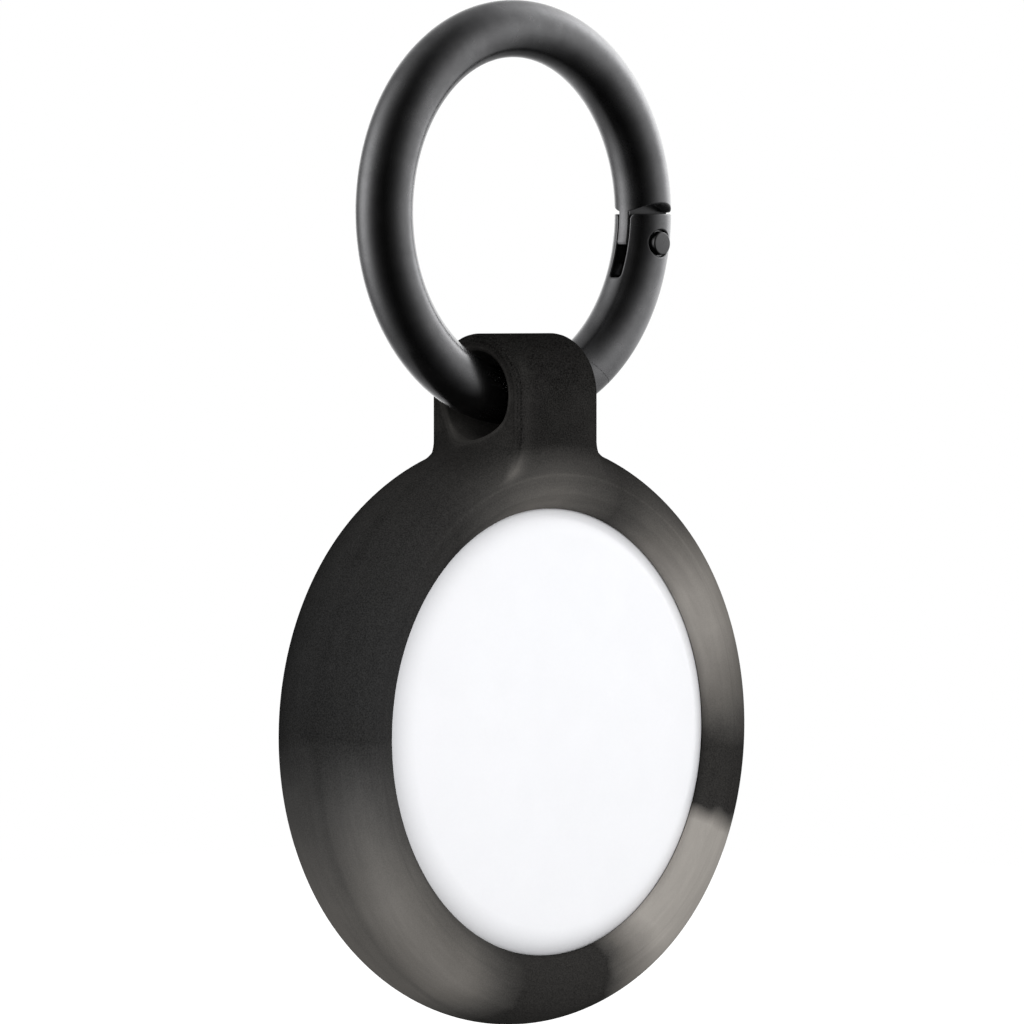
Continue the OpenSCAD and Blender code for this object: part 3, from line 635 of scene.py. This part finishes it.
def finish_material(name, colour, roughness, metallic=0.0, grain=0.3, shade=0.05,
                    rough_spread=0.04, relief=0.004, brushed=None, specular=0.5, tint=1.0,
                    painted_shade_box=None, cut=None):
    """A finish with grain in its colour, gloss and relief. A brushed finish has
    streaks round the axis whose x and z are given. Inside a box given by its lowest and
    highest x, y and z, the colour is darker: painted shade. A cut is dull: it lies
    above a height, at a distance from an axis whose x and z are given."""
    nodes = Nodes(name)
    place = nodes.add("ShaderNodeTexCoord", out=3)
    where = place
    if brushed:
        where = round_axis(nodes, *polar(nodes, place, *brushed), BRUSH_LENGTH)
    fine = nodes.noise(where, grain)
    broad = nodes.noise(where, grain * BROAD_SIZE, 2.0)
    factor = nodes.product(nodes.vary(fine, 1 - shade, 1 + shade),
                           nodes.vary(broad, 1 - shade, 1 + shade))
    # Painted shade: the colour is darker inside the box
    if painted_shade_box:
        inside = 1.0
        for value, low, high in zip(nodes.parts(place), *painted_shade_box):
            inside = nodes.product(inside, nodes.math(
                "COMPARE", value, (low + high) / 2, (high - low) / 2))
        factor = nodes.product(factor, nodes.spread(inside, 0, 1, 1, PAINTED_SHADE_SHARE))
    base = nodes.add("ShaderNodeRGB")
    base.default_value = (*colour, 1)
    nodes.put(nodes.shader.inputs["Base Color"], nodes.times(base, factor))
    nodes.put(nodes.shader.inputs["Roughness"],
              nodes.vary(broad, roughness - rough_spread, roughness + rough_spread))
    nodes.put(nodes.shader.inputs["Normal"], nodes.bump(fine, relief))
    nodes.shader.inputs["Metallic"].default_value = metallic
    if cut:
        cut_x, cut_z, cut_r, above = cut
        off_axis = polar(nodes, place, cut_x, cut_z)[1]
        dull = nodes.product(nodes.math("COMPARE", off_axis, cut_r, CUT_PLAY), nodes.math(
            "GREATER_THAN", nodes.parts(place)[2], above * MM))
        nodes.put(nodes.shader.inputs["Metallic"],
                  nodes.spread(dull, 0, 1, metallic, CUT_METALLIC))
    nodes.shader.inputs["Specular IOR Level"].default_value = specular
    nodes.shader.inputs["Specular Tint"].default_value = (tint, tint, tint, 1)
    return nodes.material


# The smoky pigment is plain charcoal. The soft patches round the disc on it are painted
# reflections, lighter sectors of the rim, and at the top's side painted shade. A patch is
# where it starts, is full, starts to end and has ended, in degrees from the right and
# anticlockwise, and the display greys of it at the window and at the side. The plain tone
# has the same two.
SMOKE_PLAIN = (48, 42)
REFLECTION_PATCHES = (
    ((-5, 25, 35, 70), (140, 45)),
    ((-5, 25, 35, 50), (60, 105)),
    ((65, 90, 98, 126), (95, 35)),
    ((180, 215, 240, 258), (75, 120)),
    ((-75, -55, -25, -20), (155, 145)),
)
SMOKE_SPAN = (14.4, 18.2)
LOOP_TONE = 34.5

# Where the rim's tone runs into the loop's, as distances from the disc's centre
RIM_TO_LOOP = (17.6, 19.4)

# Painted shade and painted light: two places along a measure in millimetres, and the tone's
# share at each. The rear's painted shade goes by the distance in front of the ring's plane,
# the head's painted shade by height above the bore's axis, the painted light on the left by x,
# and the painted light in the bore by the distance from that axis.
REAR_PAINTED_SHADE = (-1.0, -4.1, 1, 0.48)
HEAD_PAINTED_SHADE = (0, LOOP_HALF_T, 1, 0.6)
LEFT_PAINTED_LIGHT = (-LOOP_HALF_W, 0.3 - LOOP_HALF_W, 1.5, 1)
BORE_PAINTED_LIGHT = (LOOP_BORE_R, LOOP_BORE_R + 0.15, 3.0, 1)

# Lines of painted shade and painted highlight: (middle, half width, gain) along a measure in
# millimetres. The gain of the ridge's painted highlight goes by height above the disc's centre.
SIDE_PAINTED_SHADE = (0.95, 0.36, -0.15)
MOUTH_HIGHLIGHT = (LOOP_BORE_R + 0.22, 0.12, 0.6)
ARCH_SHADE_LINES = ((3.42, 0.05, -0.3), (3.7, 0.06, -0.35))
RIGHT_PAINTED_LIGHT = (0.75 * LOOP_HALF_W, 0.9, 0.2)
GROOVE_PAINTED_SHADE = (GROOVE_R, 0.06, -0.06)
RIDGE_HIGHLIGHT_HALF_W, RIDGE_HIGHLIGHT_GAIN = 0.09, (8, 14, 0.03, 0.2)

# The loop's front-left edge, by height above the disc's centre. It sweeps outwards below
# EDGE_TOP, nearly as a quarter of a circle. A line of painted shade, a broad painted highlight
# and a painted highlight at its foot run along it: their middles and half widths are
# distances from the edge.
EDGE_TOP, EDGE_SWEEP, EDGE_SWEPT = 18.6, 3.4, 0.95
EDGE_FADE, EDGE_FRONT = (15.4, 16.2), (2.9, 3.4)
EDGE_FOOT = (16.4, 1.1, 1.0)
EDGE_SHADE_HEIGHTS, EDGE_SHADE_GAIN = (16.2, 18), -0.4
EDGE_SHADE_LINE, EDGE_HIGHLIGHT, FOOT_HIGHLIGHT = (0.22, 0.07), (0.75, 0.45, 0.42), (0.3, 0.3)

# The pigment's drift round the disc in turns, its mottling, streaks and fine grain, each
# with its size in millimetres, then two levels of it with the warmth at each, and the side
# where it is cooler, in turns
DRIFT_SIZE, DRIFT = 3.0, 0.004
MOTTLE_SIZE, MOTTLE = 1.6, 0.15
STREAK_SIZE, STREAK_LENGTH, STREAK_SHADE = 0.35, 12, 0.05
GRAIN_SIZE, GRAIN_LEVEL, LEAST_LEVEL = 0.085, 0.0105, 0.002
HOLDER_ROUGHNESS, HOLDER_RELIEF = (0.5, 0.6), 0.006
WARMTH = (0.01, 0.12, 0.035, 0.066)
COOL_SIDE = (165 / 360, 35 / 360, -0.9)
WARM_SHARES = (1.0, 0.0, -1.2)


def smoke_and_reflections(nodes, turn, reach):
    """The linear level of the smoky pigment, with the painted reflections and painted shade of
    its patches.
    """
    # The angle runs from -90 to 270 degrees, so that no patch crosses its ends
    turn = nodes.math("FRACT", nodes.math("ADD", turn, 0.25))
    angle = nodes.math("SUBTRACT", nodes.math("MULTIPLY", turn, 360), 90)
    plain = [tone(grey) for grey in SMOKE_PLAIN]
    level = nodes.spread(reach, *SMOKE_SPAN, *plain)
    # Each patch adds its painted reflection, and the top one adds painted shade at the side
    for (start, full, last, end), greys in REFLECTION_PATCHES:
        extra = [tone(grey) - bare for grey, bare in zip(greys, plain)]
        patch = nodes.product(nodes.spread(angle, start, full, 0, 1),
                              nodes.spread(angle, last, end, 1, 0),
                              nodes.spread(reach, *SMOKE_SPAN, *extra))
        level = nodes.math("ADD", level, patch)
    return level


def holder_material():
    """Soft-touch charcoal with a smoky warm grey drifting round the rim, and painted
    reflections, highlights and shade on the rim and the loop.
    """
    nodes = Nodes("holder_smoke_and_painted_light")
    where = nodes.add("ShaderNodeTexCoord", out=3)
    turn, reach, depth = polar(nodes, where, 0, DISC_Z)
    drift = nodes.noise(where, DRIFT_SIZE, 2.0)
    turn = nodes.math("ADD", turn, nodes.vary(drift, -DRIFT, DRIFT))

    def streak(value, middle, half, gain):
        """A soft line where a value is near its middle: 1 plus a gain, and 1 far off."""
        off = nodes.math("DIVIDE", nodes.math("SUBTRACT", value, middle), half)
        bell = nodes.math("EXPONENT", nodes.product(off, off, -1.0))
        return nodes.math("ADD", nodes.math("MULTIPLY", bell, gain), 1.0)

    # Painted shade: a dark line along the rim's side, and darker towards the rear
    level = nodes.product(smoke_and_reflections(nodes, turn, reach), streak(depth, *SIDE_PAINTED_SHADE),
                          nodes.spread(depth, *REAR_PAINTED_SHADE))
    # The loop, by x, by height and by distance from its bore's axis, with painted highlights,
    # painted light and painted shade
    x, _, z = nodes.parts(where)
    x = nodes.math("DIVIDE", x, MM)
    height = nodes.math("SUBTRACT", nodes.math("DIVIDE", z, MM), DISC_Z)
    rise = nodes.math("SUBTRACT", height, LOOP_Y)
    mouth = nodes.hypot(depth, rise)
    rise = nodes.math("MAXIMUM", rise, 0.0)
    arch = nodes.hypot(depth, rise)
    mottle = nodes.vary(nodes.noise(where, MOTTLE_SIZE, 2.0), 1 - MOTTLE, 1 + MOTTLE)
    loop = nodes.product(
        tone(LOOP_TONE), streak(mouth, *MOUTH_HIGHLIGHT),
        *(streak(arch, *values) for values in ARCH_SHADE_LINES), streak(x, *RIGHT_PAINTED_LIGHT),
        mottle, nodes.spread(rise, *HEAD_PAINTED_SHADE), nodes.spread(x, *LEFT_PAINTED_LIGHT),
        nodes.spread(mouth, *BORE_PAINTED_LIGHT))
    level = nodes.add("ShaderNodeMix", nodes.spread(reach, *RIM_TO_LOOP, 0, 1), None,
                      level, loop)
    # Its front-left edge, with painted shade and painted highlights along it
    lowered = nodes.spread(height, EDGE_TOP, EDGE_TOP - EDGE_SWEPT * EDGE_SWEEP, 0, EDGE_SWEPT)
    rest = nodes.math("SUBTRACT", 1.0, nodes.product(lowered, lowered))
    sweep = nodes.math("SUBTRACT", 1.0, nodes.math("SQRT", rest))
    edge = nodes.math("ADD", nodes.math("ADD", x, LOOP_HALF_W),
                      nodes.math("MULTIPLY", sweep, EDGE_SWEEP))
    near_edge = nodes.product(nodes.spread(height, *EDGE_FADE, 0, 1),
                              nodes.spread(depth, *EDGE_FRONT, 0, 1))
    foot = nodes.math("SUBTRACT", streak(height, *EDGE_FOOT), 1.0)
    line = nodes.math("MULTIPLY", nodes.spread(height, *EDGE_SHADE_HEIGHTS, 0, 1), EDGE_SHADE_GAIN)
    for middle, half, gain in ((*EDGE_SHADE_LINE, line), EDGE_HIGHLIGHT, (*FOOT_HIGHLIGHT, foot)):
        level = nodes.product(level, streak(edge, middle, half,
                                            nodes.math("MULTIPLY", near_edge, gain)))
    # Painted highlight on the ridge and painted shade in the groove
    level = nodes.product(
        level, streak(reach, RIDGE_R, RIDGE_HIGHLIGHT_HALF_W, nodes.spread(height, *RIDGE_HIGHLIGHT_GAIN)),
        streak(reach, *GROOVE_PAINTED_SHADE))
    # Streaks and grain, then warmth
    streaks = nodes.noise(round_axis(nodes, turn, reach, depth, STREAK_LENGTH), STREAK_SIZE)
    fine = nodes.noise(where, GRAIN_SIZE, 2.0)
    level = nodes.product(level, nodes.vary(streaks, 1 - STREAK_SHADE, 1 + STREAK_SHADE))
    level = nodes.math("MAXIMUM", LEAST_LEVEL, nodes.math(
        "ADD", level, nodes.vary(fine, -GRAIN_LEVEL, GRAIN_LEVEL)))
    warmth = nodes.product(nodes.spread(level, *WARMTH), streak(turn, *COOL_SIDE))
    colour = nodes.vector(*(
        nodes.product(level, nodes.math("ADD", nodes.math("MULTIPLY", warmth, share), 1.0))
        for share in WARM_SHARES))
    nodes.put(nodes.shader.inputs["Base Color"], colour)
    nodes.put(nodes.shader.inputs["Roughness"], nodes.vary(streaks, *HOLDER_ROUGHNESS))
    nodes.put(nodes.shader.inputs["Normal"], nodes.bump(fine, HOLDER_RELIEF))
    nodes.shader.inputs["Specular IOR Level"].default_value = 0.0
    return nodes.material


def dress(piece, made):
    """Gives a piece one finish in place of those it has."""
    piece.data.materials.clear()
    piece.data.materials.append(made)


# The tongue's front face, where it shows in the gap above the fork, gets painted shade, as
# the gap shades it: the lowest and highest x, y and z, in metres
NECK_SHADE_BOX = ((0.00995, -0.00046, RING_Z * MM - 0.0002),
            (0.0132, -0.00039, RING_Z * MM + 0.0008))
black_metal = finish_material("ring_satin_black", (0.088, 0.088, 0.09), 0.26, 0.985,
                              grain=0.1, shade=0.1, rough_spread=0.015, relief=0.0003, tint=0.5,
                              painted_shade_box=NECK_SHADE_BOX,
                              cut=(PIN_X, RING_Z + PIN_Y, SHOULDER_CUT_R, RING_Z + 0.1))
white_shell = finish_material("tag_gloss_white", (0.9, 0.905, 0.93), 0.32, grain=0.2,
                              shade=0.006, rough_spread=0.03, relief=0.0015, specular=0.4)
dress(holder, holder_material())
dress(ring, black_metal)
dress(gate, black_metal)
dress(pin, finish_material("pin_satin_black", (0.06, 0.06, 0.061), 0.3, 1.0, grain=0.12,
                           shade=0.04, relief=0.002, brushed=(PIN_X, RING_Z + PIN_Y), tint=0.5))
dress(tag_cap, white_shell)
dress(rear_shell, white_shell)
dress(cover, finish_material("cover_satin_steel", (0.44, 0.44, 0.445), 0.35, 0.3, grain=0.12,
                             shade=0.03, relief=0.0006, brushed=(0, DISC_Z)))

# Carried-over pieces inside: node names, then the name, colour, roughness, metallic, grain
# and shade of the finish that they share
INNER = (
    (("gate_spring", "gate_plunger"), "spring_wire", (0.5, 0.5, 0.51), 0.25, 1.0, 0.1, 0.04),
    (("antenna_frame",), "tray_moulded", (0.72, 0.71, 0.68), 0.5, 0.0, 0.4, 0.04),
    (("antenna_traces",), "trace_copper", (0.72, 0.38, 0.2), 0.3, 1.0, 0.15, 0.08),
    (("circuit_board",), "board_mask", (0.02, 0.11, 0.05), 0.4, 0.0, 0.5, 0.12),
    (("radio_shield",), "can_tinned", (0.6, 0.6, 0.58), 0.3, 1.0, 0.3, 0.05),
    (("board_chips",), "chip_moulded", (0.03, 0.03, 0.032), 0.5, 0.0, 0.1, 0.12),
    (("board_capacitors",), "capacitor_ceramic", (0.42, 0.3, 0.18), 0.45, 0.0, 0.2, 0.08),
    (("speaker_yoke", "speaker_magnet"), "magnet_plated", (0.6, 0.58, 0.54), 0.25, 1.0, 0.3,
     0.04),
    (("voice_coil",), "coil_wound", (0.62, 0.3, 0.14), 0.35, 1.0, 0.08, 0.15),
    (("battery_contacts",), "contact_plated", (0.85, 0.62, 0.3), 0.25, 1.0, 0.2, 0.05),
    (("cell_can", "cell_cap"), "cell_steel", (0.6, 0.6, 0.6), 0.22, 1.0, 0.25, 0.04),
    (("cell_gasket",), "seal_natural", (0.68, 0.66, 0.6), 0.5, 0.0, 0.2, 0.04),
    (("cover_lugs",), "lugs_moulded", (0.75, 0.75, 0.74), 0.45, 0.0, 0.3, 0.03),
    (("cover_pad",), "pad_foam", (0.03, 0.03, 0.03), 0.9, 0.0, 0.15, 0.35),
    (("cover_gasket",), "seal_black", (0.025, 0.025, 0.025), 0.55, 0.0, 0.2, 0.08),
)
for names, title, colour, roughness, metallic, grain, shade in INNER:
    made = finish_material(title, colour, roughness, metallic, grain=grain, shade=shade)
    for name in names:
        dress(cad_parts[name], made)

# The gate's spring is a copy of the CAD one, with a mesh of its own, carried by the gate
cad_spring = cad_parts["gate_spring"]
spring = bpy.data.objects.new("gate_spring_coil", cad_spring.data.copy())
bpy.context.scene.collection.objects.link(spring)
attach(spring, "gate")
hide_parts("gate_spring")
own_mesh(spring)

# Camera, at the photograph's angle
AZIMUTH, ELEVATION, DISTANCE = math.radians(-45.3), math.radians(1.3), 0.635
target = Vector((-0.00028, 0, -0.02858))


def direction(azimuth, elevation):
    """From the object outward. Azimuth 0 is the front and 90 the right, in radians."""
    return Vector((math.sin(azimuth) * math.cos(elevation),
                   -math.cos(azimuth) * math.cos(elevation), math.sin(elevation)))


back = direction(AZIMUTH, ELEVATION)
camera_data = bpy.data.cameras.new("camera")
camera_data.lens = 355
camera_data.sensor_width = 36
camera_data.clip_start = 0.05
camera_data.clip_end = 20
camera = bpy.data.objects.new("camera", camera_data)
camera.location = target + back * DISTANCE
camera.rotation_mode = "QUATERNION"
camera.rotation_quaternion = (-back).to_track_quat("-Z", "Y")
bpy.context.scene.collection.objects.link(camera)
bpy.context.scene.camera = camera


def softbox(name, azimuth, elevation, width, height, distance, radiance):
    """An area lamp that faces the object, as bright all over as its radiance. The tent
    stands for it in reflections."""
    lamp = bpy.data.lights.new(name, "AREA")
    lamp.shape = "RECTANGLE"
    lamp.size, lamp.size_y = width, height
    lamp.energy = radiance * math.pi * width * height
    found = bpy.data.objects.new(name, lamp)
    away = direction(math.radians(azimuth), math.radians(elevation))
    found.location = target + away * distance
    found.rotation_mode = "QUATERNION"
    found.rotation_quaternion = away.to_track_quat("Z", "Y")
    found.visible_camera = False
    found.visible_glossy = False
    bpy.context.scene.collection.objects.link(found)


softbox("front_softbox", azimuth=-20, elevation=16, width=0.4, height=0.42, distance=0.6,
        radiance=2.05)


def seen_white(tree, plain, white):
    """Mixes a plain look with a white one that the camera and reflections see."""
    path = tree.nodes.new("ShaderNodeLightPath")
    seen = path.outputs["Is Camera Ray"]
    for ray in ("Is Glossy Ray", "Is Transmission Ray"):
        either = tree.nodes.new("ShaderNodeMath")
        either.operation = "MAXIMUM"
        tree.links.new(seen, either.inputs[0])
        tree.links.new(path.outputs[ray], either.inputs[1])
        seen = either.outputs[0]
    mix = tree.nodes.new("ShaderNodeMixShader")
    tree.links.new(seen, mix.inputs[0])
    tree.links.new(plain, mix.inputs[1])
    tree.links.new(white, mix.inputs[2])
    return mix.outputs[0]


# World: soft fill for the object, white behind it
FILL = 0.835
world = bpy.data.worlds.new("studio")
world.use_nodes = True
fill = world.node_tree.nodes["Background"]
fill.inputs["Color"].default_value = (1, 1, 1, 1)
fill.inputs["Strength"].default_value = FILL
white = world.node_tree.nodes.new("ShaderNodeBackground")
white.inputs["Color"].default_value = (1, 1, 1, 1)
world.node_tree.links.new(seen_white(world.node_tree, fill.outputs[0], white.outputs[0]),
                          world.node_tree.nodes["World Output"].inputs[0])
bpy.context.scene.world = world
bpy.context.scene.view_settings.view_transform = "Standard"

# Floor: pale, below the hanging tag and the tent, and it keeps the shadow
FLOOR_Z, FLOOR_HALF_W, FLOOR_GLOW = -0.36, 4, 0.5
floor_mesh = bpy.data.meshes.new("floor")
floor_corners = [(x * FLOOR_HALF_W, y * FLOOR_HALF_W, FLOOR_Z)
                 for x, y in ((-1, -1), (1, -1), (1, 1), (-1, 1))]
floor_mesh.from_pydata(floor_corners, [], [(0, 1, 2, 3)])
floor = bpy.data.objects.new("floor", floor_mesh)
bpy.context.scene.collection.objects.link(floor)
floor_material = bpy.data.materials.new("floor_pale")
floor_material.use_nodes = True
floor_tree = floor_material.node_tree
plain = floor_tree.nodes["Principled BSDF"]
plain.inputs["Base Color"].default_value = (0.8, 0.8, 0.8, 1)
plain.inputs["Roughness"].default_value = 0.9
plain.inputs["Specular IOR Level"].default_value = 0.0
glow = floor_tree.nodes.new("ShaderNodeEmission")
glow.inputs["Strength"].default_value = FLOOR_GLOW
both = floor_tree.nodes.new("ShaderNodeAddShader")
floor_tree.links.new(plain.outputs[0], both.inputs[0])
floor_tree.links.new(glow.outputs[0], both.inputs[1])
floor_tree.links.new(seen_white(floor_tree, plain.outputs[0], both.outputs[0]),
                     floor_tree.nodes["Material Output"].inputs[0])
floor_mesh.materials.append(floor_material)

# A tent round the object, which only reflections see: dark, with soft glowing panels.
# Each panel is azimuth, elevation, half width and half height in degrees, and its level.
TENT_R = 0.3
TENT_DARK = 0.01
RIGHT_PANEL = (95, 20, 25, 30, 10.0)
REAR_LEFT_PANEL = (-140, 10, 30, 50, 3.5)
REAR_RIGHT_STRIP = (155, 0, 20, 45, 4.5)
FRONT_PANEL = (45, 10, 40, 40, 1.5)
PANELS = (RIGHT_PANEL, REAR_LEFT_PANEL, REAR_RIGHT_STRIP, FRONT_PANEL)
tent_mesh = bpy.data.meshes.new("reflection_tent")
ball = bmesh.new()
bmesh.ops.create_uvsphere(ball, u_segments=48, v_segments=24, radius=TENT_R)
ball.to_mesh(tent_mesh)
ball.free()
tent = bpy.data.objects.new("reflection_tent", tent_mesh)
tent.location = target
bpy.context.scene.collection.objects.link(tent)
glowing = Nodes("tent_glow")
outward = glowing.add("ShaderNodeVectorMath", glowing.add("ShaderNodeTexCoord", out=3),
                      operation="NORMALIZE")


def along(axis):
    """How far a direction points along an axis, from -1 to 1."""
    return glowing.add("ShaderNodeVectorMath", outward, tuple(axis), out=1,
                       operation="DOT_PRODUCT")


level = TENT_DARK
for azimuth, elevation, half_w, half_h, strength in PANELS:
    centre = direction(math.radians(azimuth), math.radians(elevation))
    across = centre.cross(Vector((0, 0, 1))).normalized()
    share = 0.0
    for axis, half in ((across, half_w), (across.cross(centre), half_h)):
        part = glowing.math("DIVIDE", along(axis), math.sin(math.radians(half)))
        share = glowing.math("ADD", share, glowing.math("MULTIPLY", part, part))
    share = glowing.math("EXPONENT", glowing.math("MULTIPLY", share, -1.0))
    share = glowing.math("MULTIPLY", share, glowing.math("MAXIMUM", along(centre), 0.0))
    level = glowing.math("ADD", level, glowing.math("MULTIPLY", share, strength))
glowing.shader.inputs["Base Color"].default_value = (0, 0, 0, 1)
glowing.shader.inputs["Specular IOR Level"].default_value = 0.0
glowing.shader.inputs["Emission Color"].default_value = (1, 1, 1, 1)
glowing.put(glowing.shader.inputs["Emission Strength"], level)
tent_mesh.materials.append(glowing.material)
tent.visible_camera = False
tent.visible_diffuse = False
tent.visible_transmission = False
tent.visible_shadow = False
